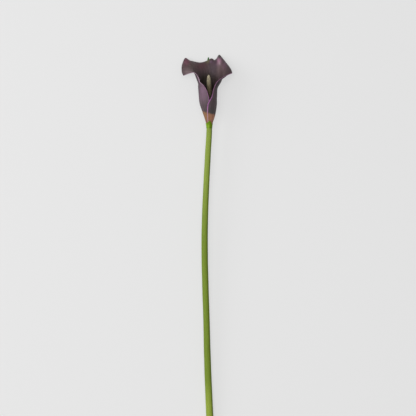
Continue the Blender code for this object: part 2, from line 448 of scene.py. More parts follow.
def put_in_scene(name, data):
    """A new object in the scene."""
    thing = bpy.data.objects.new(name, data)
    bpy.context.scene.collection.objects.link(thing)
    return thing


def add_piece(name, mesh, material, slot, *nodes):
    """Lay a finished upright mesh down as a piece that stands for those nodes of the part."""
    mesh.transform(laid_down())
    mesh.shade_smooth()
    mesh.materials.clear()
    mesh.materials.append(material)
    piece = put_in_scene(name, mesh)
    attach(piece, "root")
    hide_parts(*nodes)


def rings_mesh(name, rings, closed=True):
    """A tube through rings of points, whose two ends close on their middles if it is closed.

    Its point order is ring by ring, and then the start and end middles. Faces point out when the rings
    turn the same way as a right-hand screw that moves along them.
    """
    count, sides = rings.shape[:2]
    points = list(rings.reshape(-1, 3))
    faces = []
    for r in range(count - 1):
        for s in range(sides):
            t = (s + 1) % sides
            faces.append((r * sides + s, r * sides + t, (r + 1) * sides + t, (r + 1) * sides + s))
    if closed:
        first, last = count * sides, (count - 1) * sides
        points += [rings[0].mean(axis=0), rings[-1].mean(axis=0)]
        for s in range(sides):
            t = (s + 1) % sides
            faces.append((t, s, first))
            faces.append((last + s, last + t, first + 1))
    mesh = bpy.data.meshes.new(name)
    mesh.from_pydata(points, [], faces)
    return mesh


def tube_rings(path, radii, sides):
    """Rings of points square to a path of upright points; radii is one for each ring, or ring by side."""
    along = np.gradient(path, axis=0)
    along /= np.linalg.norm(along, axis=1)[:, None]
    right = np.cross(along, np.array((0.0, 1.0, 0.0)))
    right = np.where(np.linalg.norm(right, axis=1)[:, None] < 1e-6, (1.0, 0.0, 0.0), right)
    right /= np.linalg.norm(right, axis=1)[:, None]
    front = np.cross(along, right)
    angles = np.linspace(0, 2 * math.pi, sides, endpoint=False)
    radii = np.broadcast_to(np.asarray(radii, float).reshape(len(path), -1), (len(path), sides))
    to_right = np.cos(angles)[:, None] * right[:, None, :]
    to_front = np.sin(angles)[:, None] * front[:, None, :]
    return path[:, None, :] + (to_right + to_front) * radii[:, :, None]


# ---------------------------------------------------------------- spathe


def funnel_point(height, side):
    """A point of the rolled lower leaf, whose right edge laps over its left one."""
    table = columns_of(FUNNEL)
    half_width, half_depth, shift, left, right = through(table[0], table[1:].T, height)[0]
    turn = right * side if side > 0 else -left * side
    lap = FLAP_STEP * max(-1.0, min(1.0, turn / WRAP_ANGLE)) * smooth_step(*FLAP_START, height)
    angle = math.radians(turn)
    across = shift + (half_width + lap) * math.sin(angle)
    return height, across, -(half_depth + lap) * math.cos(angle)


def spathe_column(side, rises):
    """The leaf's line from foot to rim at one place round it, as (height, across, out) rows."""
    backness = 0.5 + 0.5 * math.cos(math.pi * side)
    heights = [front + (back - front) * backness for front, back in zip(FRONT_HEIGHTS, BACK_HEIGHTS)]
    column = [funnel_point(height, side) for height in heights]
    sides = [station[0] for station in FLARE]
    swell = through(sides, [station[1] for station in FLARE], side)[0]
    fold = through(sides, [station[2] for station in FLARE], side)[0]
    column += [tuple(swell), tuple(fold)]
    for lost, drawn, back, tuck in LIP_ROLL:
        height = fold[0] + lost * backness + tuck * side ** 12
        column.append((height, fold[1] * (1 + drawn), fold[2] + back))
    return through(ROW_KEYS, column, rises)


def close_steps(count, fine, reach):
    """Places from 0 to 1 that lie close together at both ends, within reach of them."""
    ends = reach * np.linspace(0, 1, fine, endpoint=False) ** 2
    middle = np.linspace(reach, 1 - reach, count)
    return np.concatenate((ends, middle, 1 - ends[::-1]))


def leaf_surface(settings):
    """The leaf's middle surface by column and row, with the places of its columns and rows."""
    sides = close_steps(settings.columns, 9, 0.018) * 2 - 1
    rises = close_steps(settings.rows, 7, 0.012)
    return np.array([spathe_column(side, rises) for side in sides]), sides, rises


def lengths_along(points, axis):
    """How far along the leaf each point is in one direction, in millimetres."""
    steps = np.linalg.norm(np.diff(points, axis=axis), axis=2)
    start = np.zeros_like(np.take(steps, [0], axis=axis))
    return np.concatenate((start, np.cumsum(steps, axis=axis)), axis=axis)


def edge_distances(points):
    """How far each point of the leaf is from its nearer long edge, from its rim and from its foot."""
    gone = lengths_along(points, 0)
    climbed = lengths_along(points, 1)
    return np.minimum(gone, gone[-1] - gone), climbed[:, -1:] - climbed, climbed


def inward_normals(points):
    """Unit normals of the leaf's middle surface, pointing into the cup."""
    round_leaf = np.gradient(points, axis=0)
    up_leaf = np.gradient(points, axis=1)
    # (height, across, out) is a left-handed order, so the product is taken the other way round.
    normals = np.cross(up_leaf, round_leaf)
    return normals / np.linalg.norm(normals, axis=2)[:, :, None]


def wave_edge(points, sides, to_side):
    """Let the leaf's left edge wander in and out at the neck."""
    heights, pushes = columns_of(EDGE_WAVE)
    push = np.interp(points[:, :, 0], heights, pushes) * np.clip(1 - to_side / 8, 0, 1) ** 2 * (sides < 0)
    return points + push[..., None] * np.array((0.0, 1.0, 0.0))


def ribbed_and_curled(points, normals, side, rise, to_side, climbed, settings):
    """Raise the leaf's long ribs and turn its free edges out."""
    ribs = np.sin(side * 60) * 0.6 + np.sin(side * 97 + 2.0) * 0.4
    ribs = ribs * smooth_step(0, 20, climbed) * settings.rib / MM
    curl = settings.curl / MM * np.clip(1 - to_side / 2.6, 0, 1) ** 2
    curl = curl * smooth_step(12, 30, points[:, :, 0]) * (1 - smooth_step(0.72, 0.86, rise))
    return points + normals * (ribs - curl)[..., None]


def both_skins(inner, outer):
    """Rows for the whole inner skin, and then for the outer skin without the edge that the two share."""
    inner, outer = (np.atleast_3d(values) for values in (inner, outer[1:-1, 1:-1]))
    return np.concatenate((inner.reshape(-1, inner.shape[2]), outer.reshape(-1, outer.shape[2])))


def skin_faces(columns, rows):
    """Quads of the two skins, in the point order of both_skins."""
    inner = np.arange(columns * rows).reshape(columns, rows)
    outer = inner.copy()
    own = np.arange((columns - 2) * (rows - 2)).reshape(columns - 2, rows - 2)
    outer[1:-1, 1:-1] = columns * rows + own
    faces = []
    for grid, order in ((inner, (0, 1, 2, 3)), (outer, (3, 2, 1, 0))):
        corners = np.stack((grid[:-1, :-1], grid[1:, :-1], grid[1:, 1:], grid[:-1, 1:]), axis=-1)
        faces.extend(corners.reshape(-1, 4)[:, order].tolist())
    return faces


def edge_closeness(points, side, to_side):
    """1 on the leaf's free edges, 0 where their pink band ends, and less further in."""
    neck = smooth_step(52, 58, points[:, :, 0]) * smooth_step(-19, -17, points[:, :, 1])
    # The band is narrow on the left edge, save on the neck and the flare, and wider on the right one.
    band = np.where(side < 0, 0.7 + 2.0 * neck, 1.5)
    return 1 - np.clip(to_side / band, 0, 2)


def blended(colours, colour, amount):
    """Colours moved towards one colour by an amount for each."""
    return colours * (1 - amount) + np.array(colour) * amount


def washed(colours, points, patch, shown):
    """Colours with one airbrushed patch over them, as far as it is shown."""
    height, across, reach_up, reach_across, code, strength = patch
    away = ((points[:, :1] - height) / reach_up) ** 2 + ((points[:, 1:2] - across) / reach_across) ** 2
    return blended(colours, tone(code), strength * np.exp(-away) * shown)


def spathe_tint_light_and_shade(points, face, rise, settings):
    """The leaf's painted colour, from its two plain faces, its patches of tint and of painted light and
    shade, the painted shade on its lip, and its green tip.
    """
    colours = blended(np.array(settings.outside), settings.inside, face)
    for name, *patch in TINT_LIGHT_AND_SHADE_WASHES:
        colours = washed(colours, points, patch, face if name == "inside" else 1 - face)
    # Painted shade: the lip darkens past its fold, where it turns away from the light.
    colours = blended(colours, settings.lip, smooth_step(*LIP_SHADE_BAND, rise))
    colours = washed(colours, points, TIP_WASH, 1.0)
    return np.hstack((colours, np.ones_like(face)))


def make_spathe(settings):
    """One leaf with an inner and an outer skin, which meet in rounded edges."""
    points, sides, rises = leaf_surface(settings)
    to_side, to_rim, climbed = edge_distances(points)
    normals = inward_normals(points)
    side = np.broadcast_to(sides[:, None], to_side.shape)
    rise = np.broadcast_to(rises, to_side.shape)
    points = wave_edge(points, side, to_side)
    points = ribbed_and_curled(points, normals, side, rise, to_side, climbed, settings)
    half = settings.wall / MM / 2
    rounded = half_round(to_side, half) * half_round(to_rim, half) * half_round(climbed, half)
    across_wall = normals * (half * rounded)[..., None]
    place = both_skins(points + across_wall, points - across_wall)
    mesh = bpy.data.meshes.new("spathe_leaf")
    mesh.from_pydata(upright_points(place), [], skin_faces(*to_side.shape))

    # Face is 1 on the inner skin, 0 on the outer one and half on the edge between them.
    face = np.ones(to_side.shape)
    face[(0, -1), :] = 0.5
    face[:, (0, -1)] = 0.5
    face = both_skins(face, np.zeros(to_side.shape))
    side_both, rise_both = both_skins(side, side), both_skins(rise, rise)
    edge = edge_closeness(points, side, to_side)
    tint_light_and_shade = spathe_tint_light_and_shade(place, face, rise_both, settings)
    add_values(mesh, "tint_light_and_shade", "FLOAT_COLOR", tint_light_and_shade)
    add_values(mesh, "edge", "FLOAT", both_skins(edge, edge))
    add_values(mesh, "place", "FLOAT_VECTOR", place)
    add_values(mesh, "grain", "FLOAT_VECTOR", np.hstack((side_both, rise_both, face)))
    return mesh


def make_tail():
    """The leaf's tip: flat where it leaves the rim, then a tapered stub with a rounded end."""
    sides, rounded = 20, 0.14
    table = columns_of(TAIL)
    steps = np.linspace(0, 1 - rounded, 22)
    steps = np.concatenate((steps, 1 - rounded * np.linspace(0.9, 0, 8) ** 2))
    keys = np.linspace(0, 1, len(TAIL))
    line = through(keys, table[:3].T, steps)
    wide, thick = (through(keys, table[3:].T, steps) * half_round(1 - steps, rounded)[:, None] + 0.02).T
    rings = tube_rings(upright_points(line), wide * MM, sides)
    middle = rings.mean(axis=1, keepdims=True)
    rings[:, :, 1] = middle[:, :, 1] + (rings[:, :, 1] - middle[:, :, 1]) * (thick / wide)[:, None]
    mesh = rings_mesh("leaf_tail", rings)
    add_values(mesh, "rise", "FLOAT", np.concatenate((np.repeat(steps, sides), (0.0, 1.0))))
    return mesh


# ---------------------------------------------------------------- node building


def node(tree, kind, inputs=(), output=0, **settings):
    """Add a node. Inputs are values or sockets to join, by the name or number of the node's socket."""
    made = tree.nodes.new(kind)
    for name, value in settings.items():
        setattr(made, name, value)
    for key, value in dict(inputs).items():
        if isinstance(value, bpy.types.NodeSocket):
            tree.links.new(value, made.inputs[key])
        else:
            made.inputs[key].default_value = value
    return made.outputs[output]


def sums(tree, operation, *values):
    """A Math node on numbers or sockets."""
    return node(tree, "ShaderNodeMath", dict(enumerate(values)), operation=operation)


def plus(tree, first, second):
    """Two values added."""
    return sums(tree, "ADD", first, second)


def times(tree, first, second):
    """One value times another."""
    return sums(tree, "MULTIPLY", first, second)


def ramp(tree, value, slope, start):
    """A value times a slope, added to a start."""
    return sums(tree, "MULTIPLY_ADD", value, slope, start)


def between(tree, value, low, high):
    """0 below low, 1 above high, and a smooth rise between them."""
    limits = {"Value": value, "From Min": low, "From Max": high}
    return node(tree, "ShaderNodeMapRange", limits, interpolation_type="SMOOTHSTEP")


def paint(colour):
    """A socket as it is, or a setting or a code of six hex digits as a colour for a socket."""
    if isinstance(colour, bpy.types.NodeSocket):
        return colour
    return (*(tone(colour) if isinstance(colour, str) else colour), 1.0)


def mixed(tree, factor, first, second):
    """Two colours mixed by a factor."""
    return node(tree, "ShaderNodeMix", {0: factor, 6: paint(first), 7: paint(second)}, 2, data_type="RGBA")


def stretched_noise(tree, vector, stretch, detail):
    """Noise over a vector that is first stretched along its axes."""
    spread = node(tree, "ShaderNodeVectorMath", {0: vector, 1: stretch}, operation="MULTIPLY")
    return node(tree, "ShaderNodeTexNoise", {"Vector": spread, "Scale": 1.0, "Detail": detail})


def speckle(tree, scale, detail=3.0):
    """Fine noise all through the piece."""
    place = node(tree, "ShaderNodeTexCoord", output="Object")
    return node(tree, "ShaderNodeTexNoise", {"Vector": place, "Scale": scale, "Detail": detail})


def scaled(tree, colour, amount):
    """A colour made lighter or darker."""
    return node(tree, "ShaderNodeVectorMath", {0: colour, "Scale": amount}, operation="SCALE")


def stored(tree, name, output="Vector"):
    """A value stored on the piece's points."""
    return node(tree, "ShaderNodeAttribute", output=output, attribute_name=name)


def axes(tree, vector):
    """The three numbers of a vector."""
    return node(tree, "ShaderNodeSeparateXYZ", {0: vector}).node.outputs


def new_material(name):
    """An empty material and its node tree."""
    material = bpy.data.materials.new(name)
    material.use_nodes = True
    return material, material.node_tree


def finished(material, colour, roughness, relief, depth, shine=0.5):
    """The material with its colour, its roughness and a relief of that depth in metres joined up."""
    tree = material.node_tree
    shader = tree.nodes["Principled BSDF"]
    tree.links.new(colour, shader.inputs["Base Color"])
    tree.links.new(roughness, shader.inputs["Roughness"])
    bump = node(tree, "ShaderNodeBump", {"Height": relief, "Distance": depth, "Strength": 1.0})
    tree.links.new(bump, shader.inputs["Normal"])
    shader.inputs["Specular IOR Level"].default_value = shine
    return material


# ---------------------------------------------------------------- materials


def foot_skin(tree, settings, height, across, streaks, veins, mottle):
    """The leaf's tan foot: redder to the right, in streaks and down by the collar."""
    warm = mixed(tree, veins, "84583f", "a4765c")
    foot = mixed(tree, between(tree, across, -5.0, 4.0), settings.foot, warm)
    foot = mixed(tree, between(tree, streaks, 0.52, 0.7), foot, "7c4f48")
    foot = mixed(tree, between(tree, height, 4.0, -1.0), foot, "8a5c4c")
    return scaled(tree, foot, ramp(tree, mottle, 0.5, 0.76))


def edge_pink_and_highlight(tree, settings, height, across):
    """The pink of the free edges, partly their own tint and partly painted highlight: paler at the foot and
    on the neck, and dull on the flare.
    """
    rose = mixed(tree, between(tree, height, 2.0, 24.0), "a88490", settings.edge)
    rose = mixed(tree, between(tree, height, 32.0, 44.0), rose, "895c7c")
    on_left = between(tree, across, -6.0, -10.0)
    neck = times(tree, on_left, between(tree, height, 50.0, 56.0))
    return mixed(tree, neck, rose, "9c8092")


def spathe_material(settings):
    """Matt leaf with long veins, patches of tint and of painted light and shade, pink edges that are partly
    painted highlight, and a tan foot.
    """
    material, tree = new_material("spathe_skin")
    grain = stored(tree, "grain")
    height, across, _ = axes(tree, stored(tree, "place"))
    streaks = stretched_noise(tree, grain, (26.0, 1.5, 3.0), 4.0)
    veins = stretched_noise(tree, grain, (95.0, 2.2, 5.0), 2.0)
    mottle = speckle(tree, 260.0)
    # Streaks lighten and darken the painted colour along the leaf.
    shade = plus(tree, times(tree, streaks, 0.85), times(tree, veins, 0.5))
    shade = plus(tree, shade, ramp(tree, mottle, 0.3, 0.15))
    skin = scaled(tree, stored(tree, "tint_light_and_shade", "Color"), shade)
    # The tan foot fades into the dark cup along a streaky line that falls to the right.
    line = ramp(tree, across, -0.28, 8.6)
    line = ramp(tree, streaks, 5.5, line)
    above = between(tree, sums(tree, "SUBTRACT", height, line), -2.0, 1.8)
    skin = mixed(tree, above, foot_skin(tree, settings, height, across, streaks, veins, mottle), skin)
    # The free edges' pink: partly their own tint, partly painted highlight on the rolled margins.
    near_edge = between(tree, stored(tree, "edge", "Fac"), 0.0, 0.35)
    skin = mixed(tree, near_edge, skin, edge_pink_and_highlight(tree, settings, height, across))
    roughness = ramp(tree, mottle, 0.22, 0.4)
    relief = plus(tree, times(tree, veins, 0.7), times(tree, mottle, 0.3))
    return finished(material, skin, roughness, relief, 0.3 * MM, shine=0.22)


def tail_material(settings):
    """Waxy green that darkens to its tip and turns brown at the rim."""
    material, tree = new_material("tail_skin")
    spots = speckle(tree, 700.0)
    green = mixed(tree, spots, "1a5000", settings.tail)
    at_rim = between(tree, stored(tree, "rise", "Fac"), 0.42, 0.12)
    green = mixed(tree, at_rim, green, "4a4430")
    return finished(material, green, ramp(tree, spots, 0.2, 0.35), spots, 0.1 * MM)


def spadix_material(settings):
    """Powdery florets that pale towards the tip, with painted shade on the side towards the cup's right
    wall.
    """
    material, tree = new_material("spadix_florets")
    rise = stored(tree, "rise", "Fac")
    powder = speckle(tree, 900.0)
    low = mixed(tree, between(tree, rise, 0.38, 0.7), settings.foot, settings.middle)
    colour = mixed(tree, between(tree, rise, 0.68, 0.98), low, settings.tip)
    shade = times(tree, stored(tree, "lot", "Fac"), 0.55)
    shade = plus(tree, shade, ramp(tree, powder, 0.5, 0.47))
    # Painted shade: the side towards the cup's right wall is darker, where that wall shades it.
    sideways = axes(tree, node(tree, "ShaderNodeTexCoord", output="Object"))[1]
    middle = laid_down().translation.y
    lit = between(tree, sideways, middle - 3.5 * MM, middle + 0.5 * MM)
    shade = times(tree, shade, ramp(tree, lit, 0.54, 0.5))
    roughness = ramp(tree, powder, 0.2, 0.7)
    return finished(material, scaled(tree, colour, shade), roughness, powder, 0.1 * MM)


def collar_material(settings):
    """Glossy green with long pale patches, gathered on the left side as a painted highlight."""
    material, tree = new_material("collar_skin")
    grain = stored(tree, "grain")
    height, across, _ = axes(tree, grain)
    patches = stretched_noise(tree, grain, (0.1, 0.3, 0.3), 2.0)
    lines = stretched_noise(tree, grain, (0.12, 2.0, 2.0), 2.0)
    # The pale patches gather on the left side as a painted highlight where the light falls, and the lower
    # rim is darker.
    patches = ramp(tree, across, -0.035, patches)
    colour = mixed(tree, between(tree, patches, 0.42, 0.66), settings.deep, settings.light)
    rim = between(tree, height, -8.6, -10.4)
    shade = ramp(tree, lines, 0.6, ramp(tree, rim, -0.16, 0.72))
    roughness = ramp(tree, lines, 0.2, 0.4)
    return finished(material, scaled(tree, colour, shade), roughness, lines, 0.2 * MM, shine=0.14)


def stem_material(settings):
    """Green skin with fine lengthwise fibres and a painted shaded side, and a pale wet cut."""
    material, tree = new_material("stem_skin")
    grain = stored(tree, "grain")
    height = axes(tree, grain)[2]
    core = stored(tree, "core", "Fac")
    fibres = stretched_noise(tree, grain, (5.4, 5.4, 0.02), 3.0)
    mottle = stretched_noise(tree, grain, (0.9, 0.9, 0.05), 4.0)
    skin = mixed(tree, between(tree, height, -190.0, -60.0), settings.middle, settings.young)
    skin = mixed(tree, between(tree, height, -380.0, -430.0), skin, settings.old)
    # Painted shade: the stem's right side, a little way up its front, is dark from end to end, where it
    # turns away from the light.
    toward = {0: grain, 1: (0.98, -0.19, 0.0)}
    facing = node(tree, "ShaderNodeVectorMath", toward, 1, operation="DOT_PRODUCT")
    shaded = times(tree, between(tree, facing, 0.34, 0.56), 0.85)
    skin = mixed(tree, shaded, skin, settings.shade)
    shade = plus(tree, times(tree, fibres, 0.24), ramp(tree, mottle, 0.26, 0.75))
    skin = scaled(tree, skin, shade)
    # The cut: a green rind, a pale spongy middle and darker vessels.
    pith = mixed(tree, speckle(tree, 1800.0, 4.0), "a9b877", settings.pith)
    pith = mixed(tree, between(tree, core, 0.45, 0.62), "8fa254", pith)
    pith = mixed(tree, between(tree, core, 1.6, 1.8), pith, "7c8f48")
    colour = mixed(tree, between(tree, core, 0.25, 0.33), skin, pith)
    relief = plus(tree, fibres, times(tree, mottle, 0.5))
    roughness = ramp(tree, mottle, 0.2, 0.4)
    return finished(material, colour, roughness, relief, 0.15 * MM, shine=0.14)


def floor_material(settings):
    """Matt paint with a barely visible cloudiness."""
    material, tree = new_material("floor_paint")
    clouds = speckle(tree, 3.0)
    paint = scaled(tree, tuple(settings.floor), ramp(tree, clouds, 0.02, 0.99))
    roughness = ramp(tree, clouds, 0.05, 0.85)
    shader = tree.nodes["Principled BSDF"]
    shader.inputs["Emission Color"].default_value = (1.0, 1.0, 1.0, 1.0)
    shader.inputs["Emission Strength"].default_value = settings.glow
    return finished(material, paint, roughness, clouds, 0.1 * MM, shine=0.1)


# ---------------------------------------------------------------- spadix, collar and stem meshes


def spadix_body(sides=40, rings=90):
    """The smooth finger that the florets sit on, with its turn and rise as a UV map."""
    table = columns_of(SPADIX)
    low, high = SPADIX[0][0], SPADIX[-1][0] + SPADIX_END
    heights = low + (high - low) * (1 - (1 - np.linspace(0, 1, rings)) ** 1.35)
    across, radii = through(table[0], table[1:].T, heights).T
    radii = np.clip(radii - FLORET_STANDS, 0.05, None)
    line = np.stack((heights, across, np.zeros(rings)), axis=1)
    mesh = rings_mesh("spadix_body", tube_rings(upright_points(line), radii * MM, sides))
    seats = mesh.uv_layers.new(name="seats")
    for polygon in mesh.polygons:
        corners = [mesh.loops[i].vertex_index for i in polygon.loop_indices]
        turns = [(v % sides) / sides for v in corners]
        wraps = max(turns) - min(turns) > 0.5
        for i, v, turn in zip(polygon.loop_indices, corners, turns):
            rise = 0.0 if v == rings * sides else min(1.0, (v // sides) / (rings - 1))
            seats.data[i].uv = (turn + 1.0 if wraps and turn < 0.5 else turn, rise)
    rises = np.repeat((heights - SPADIX_RISE[0]) / SPADIX_RISE[1], sides)
    add_values(mesh, "rise", "FLOAT", np.concatenate((rises, (0.0, 1.0))))
    return mesh


def start_group(name, **inputs):
    """A geometry node group: its tree, what its inputs give, and the identifiers of the named ones."""
    tree = bpy.data.node_groups.new(name, "GeometryNodeTree")
    tree.interface.new_socket(name="Geometry", in_out="INPUT", socket_type="NodeSocketGeometry")
    sockets = {}
    for label, (kind, default) in inputs.items():
        socket = tree.interface.new_socket(name=label, in_out="INPUT", socket_type=kind)
        socket.default_value = default
        sockets[label] = socket.identifier
    tree.interface.new_socket(name="Geometry", in_out="OUTPUT", socket_type="NodeSocketGeometry")
    return tree, tree.nodes.new("NodeGroupInput").outputs, sockets


def finish_group(tree, body, added, material):
    """Join what was added to the body, and give the whole its material."""
    joined = tree.nodes.new("GeometryNodeJoinGeometry")
    for part in (body, added):
        tree.links.new(part, joined.inputs[0])
    real = node(tree, "GeometryNodeRealizeInstances", {"Geometry": joined.outputs[0]})
    dressed = node(tree, "GeometryNodeSetMaterial", {"Geometry": real, "Material": material})
    tree.links.new(dressed, tree.nodes.new("NodeGroupOutput").inputs["Geometry"])


def keep_value(tree, geometry, name, value):
    """Store a number on each point of a geometry."""
    inputs = {"Geometry": geometry, "Name": name, "Value": value}
    return node(tree, "GeometryNodeStoreNamedAttribute", inputs, data_type="FLOAT", domain="POINT")


def named_value(tree, name, kind="FLOAT"):
    """A value stored under a name on the geometry."""
    return node(tree, "GeometryNodeInputNamedAttribute", {"Name": name}, data_type=kind)


def beads_on(tree, dots, rotation, size, flatness, rounds):
    """A flattened bead on each dot, as real geometry."""
    bead = node(tree, "GeometryNodeMeshIcoSphere", {"Radius": 0.5, "Subdivisions": rounds})
    bead = node(tree, "GeometryNodeTransform", {"Geometry": bead, "Scale": (1.0, 1.0, flatness)})
    inputs = {"Points": dots, "Instance": bead, "Rotation": rotation, "Scale": size}
    beads = node(tree, "GeometryNodeInstanceOnPoints", inputs)
    return node(tree, "GeometryNodeRealizeInstances", {"Geometry": beads})


def random_value(tree, low, high, seed):
    """A random number for each point."""
    return node(tree, "FunctionNodeRandomValue", {2: low, 3: high, "Seed": seed}, 1, data_type="FLOAT")


def floret_nodes(material):
    """Florets on a golden-angle spiral over a body with a UV map of its turn and rise."""
    tree, given, sockets = start_group(
        "floret_spiral",
        Florets=("NodeSocketInt", 900),
        Width=("NodeSocketFloat", MM),
        Seed=("NodeSocketInt", 0),
    )
    body = given["Geometry"]
    index = node(tree, "GeometryNodeInputIndex")
    share = sums(tree, "DIVIDE", index, given["Florets"])
    turn = sums(tree, "FRACT", times(tree, index, GOLDEN_TURN))
    seat = node(tree, "ShaderNodeCombineXYZ", {0: turn, 1: ramp(tree, share, 0.985, 0.008)})
    uv = named_value(tree, "seats", "FLOAT_VECTOR")

    def at_seat(value, kind):
        """A value of the body where each floret sits."""
        inputs = {"Mesh": body, "Value": value, "UV Map": uv, "Sample UV": seat}
        return node(tree, "GeometryNodeSampleUVSurface", inputs, data_type=kind)

    place = at_seat(node(tree, "GeometryNodeInputPosition"), "FLOAT_VECTOR")
    normal = at_seat(node(tree, "GeometryNodeInputNormal"), "FLOAT_VECTOR")
    level = at_seat(named_value(tree, "rise"), "FLOAT")
    dots = node(tree, "GeometryNodePoints", {"Count": given["Florets"], "Position": place})
    dots = keep_value(tree, dots, "rise", level)
    lot = random_value(tree, 0.0, 1.0, given["Seed"])
    dots = keep_value(tree, dots, "lot", lot)
    facing = node(tree, "FunctionNodeAlignRotationToVector", {"Vector": normal}, axis="Z")
    # Sizes vary a little from floret to floret, and shrink towards the tip.
    size = times(tree, given["Width"], ramp(tree, lot, 0.3, 0.85))
    size = times(tree, size, ramp(tree, share, -0.15, 1.05))
    finish_group(tree, body, beads_on(tree, dots, facing, size, 0.62, 1), material)
    return tree, sockets


def vessel_nodes(material):
    """Small raised dots scattered over the stem's cut face."""
    tree, given, sockets = start_group(
        "cut_vessels",
        Spacing=("NodeSocketFloat", 0.8 * MM),
        Width=("NodeSocketFloat", 0.4 * MM),
        Seed=("NodeSocketInt", 0),
    )
    inputs = {0: named_value(tree, "core"), 1: 0.42}
    on_cut = node(tree, "FunctionNodeCompare", inputs, data_type="FLOAT", operation="GREATER_THAN")
    inputs = {
        "Mesh": given["Geometry"],
        "Selection": on_cut,
        "Distance Min": given["Spacing"],
        "Density Max": 4.0e6,
        "Density Factor": 1.0,
        "Seed": given["Seed"],
    }
    dots = node(tree, "GeometryNodeDistributePointsOnFaces", inputs, distribute_method="POISSON")
    size = times(tree, given["Width"], random_value(tree, 0.6, 1.2, given["Seed"]))
    vessels = beads_on(tree, dots, dots.node.outputs["Rotation"], size, 0.4, 2)
    finish_group(tree, given["Geometry"], keep_value(tree, vessels, "core", 2.0), material)
    return tree, sockets


def grown(mesh, group, inputs):
    """Run a geometry node group with those inputs on a mesh, and give the result as a plain mesh."""
    tree, sockets = group
    host = put_in_scene(mesh.name, mesh)
    modifier = host.modifiers.new("grow", "NODES")
    modifier.node_group = tree
    for label, value in inputs.items():
        modifier[sockets[label]] = value
    graph = bpy.context.evaluated_depsgraph_get()
    result = bpy.data.meshes.new_from_object(host.evaluated_get(graph))
    host.modifiers.remove(modifier)
    bpy.data.objects.remove(host)
    return result


def collar_ring(heights, turns, inset):
    """Points round the collar's side: the part's profile, fitted to the leaf's foot further up."""
    profile = columns_of(COLLAR_OUTSIDE[::-1])
    turned = np.interp(heights, profile[0], profile[1])
    funnel = columns_of(FUNNEL)
    leaf, _, shift = through(funnel[0], funnel[1:4].T, np.maximum(heights, funnel[0][0])).T
    in_leaf = smooth_step(*FLAP_START, heights)
    fitted = leaf + np.interp(turns, *columns_of(COLLAR_LAPS)) * in_leaf + COLLAR_FIT
    below = 1 - smooth_step(-4.5, -1.5, heights)
    radii = fitted + np.maximum(turned - fitted, 0.0) * below - inset
    across = shift * in_leaf + radii * np.sin(np.radians(turns))
    return np.stack((heights, across, -radii * np.cos(np.radians(turns))), axis=1)


def make_collar(settings):
    """A lobed sleeve round the top of the stem and the leaf's foot."""
    sides, rows = 144, 26
    turns = np.linspace(-180, 180, sides, endpoint=False)
    angles, edge_heights = columns_of(COLLAR_EDGE)
    tops = through(angles, edge_heights, turns)[:, 0]
    bottom = COLLAR_OUTSIDE[-1][0]
    wall = settings.wall / MM
    shares = np.linspace(0, 1, rows)
    # Up the outer side, over the rounded edge and down the inner side.
    outside = [(share, 0.0) for share in shares]
    inside = [(share, wall) for share in shares[::-1]]
    outside[0] = (0.0, 0.3 * wall)
    outside[-1] = (1.0, 0.3 * wall)
    rings = []
    for share, inset in outside + inside:
        rings.append(collar_ring(bottom + (tops - bottom) * share, turns, inset))
    rings.append(rings[0])
    points = np.array(rings)
    mesh = rings_mesh("collar_sleeve", upright_points(points), closed=False)
    add_values(mesh, "grain", "FLOAT_VECTOR", points)
    sleeve = bmesh.new()
    sleeve.from_mesh(mesh)
    bmesh.ops.remove_doubles(sleeve, verts=sleeve.verts, dist=0.001 * MM)
    bmesh.ops.recalc_face_normals(sleeve, faces=sleeve.faces)
    sleeve.to_mesh(mesh)
    sleeve.free()
    return mesh


def make_stem(settings):
    """The ribbed stem with its cut end."""
    sides, rings = 110, 230
    table = columns_of(STEM)
    heights = np.linspace(STEM[0][0], STEM[-1][0], rings)
    across, radii = through(-table[0], table[1:].T, -heights).T
    turns = np.linspace(0, 2 * math.pi, sides, endpoint=False)
    strength = 0.7 + 0.3 * np.sin(turns * 5 + 1)
    ribs = strength * np.cos(turns * settings.ribs + 1.3 * np.sin(turns * 3) + heights[:, None] * 0.004)
    uneven = 0.05 * np.sin(heights[:, None] * 0.11 + turns) * np.sin(heights[:, None] * 0.037)
    wide = radii[:, None] + settings.rib / MM * ribs + uneven
    line = np.stack((heights, across, np.zeros(rings)), axis=1)
    body = tube_rings(upright_points(line), wide * MM, sides)
    # The cut face: rings that shrink towards the middle and sink a little.
    shares = np.array((0.985, 0.95, 0.85, 0.7, 0.5, 0.3, 0.12))
    sink = np.array((-0.1, -0.15, 0.1, 0.25, 0.35, 0.4, 0.42)) * MM
    middle = body[-1].mean(axis=0)
    cut = middle + (body[-1] - middle) * shares[:, None, None]
    cut[:, :, 2] += sink[:, None]
    mesh = rings_mesh("stem_rod", np.concatenate((body, cut)))

    # For the material: where a point is round and along the stem, and how deep it is in the cut face.
    out_from_core = np.concatenate((np.ones(rings), shares))
    level = np.concatenate((heights, np.full(len(cut), heights[-1])))
    circle = np.stack((np.cos(turns), np.sin(turns)), axis=1)
    grain = np.empty((len(level), sides, 3))
    grain[:, :, :2] = circle * out_from_core[:, None, None]
    grain[:, :, 2] = level[:, None]
    ends = ((0.0, 0.0, heights[0]), (0.0, 0.0, heights[-1]))
    add_values(mesh, "grain", "FLOAT_VECTOR", np.concatenate((grain.reshape(-1, 3), ends)))
    depth = np.concatenate((np.zeros(rings), 1.3 - shares))
    add_values(mesh, "core", "FLOAT", np.concatenate((np.repeat(depth, sides), (0.0, 1.3))))
    return mesh


# ---------------------------------------------------------------- stage


def make_floor(settings):
    """A wide flat floor."""
    mesh = bpy.data.meshes.new("floor")
    shape = bmesh.new()
    bmesh.ops.create_grid(shape, x_segments=8, y_segments=8, size=FLOOR_REACH)
    shape.to_mesh(mesh)
    shape.free()
    mesh.materials.append(floor_material(settings))
    floor = put_in_scene("floor", mesh)


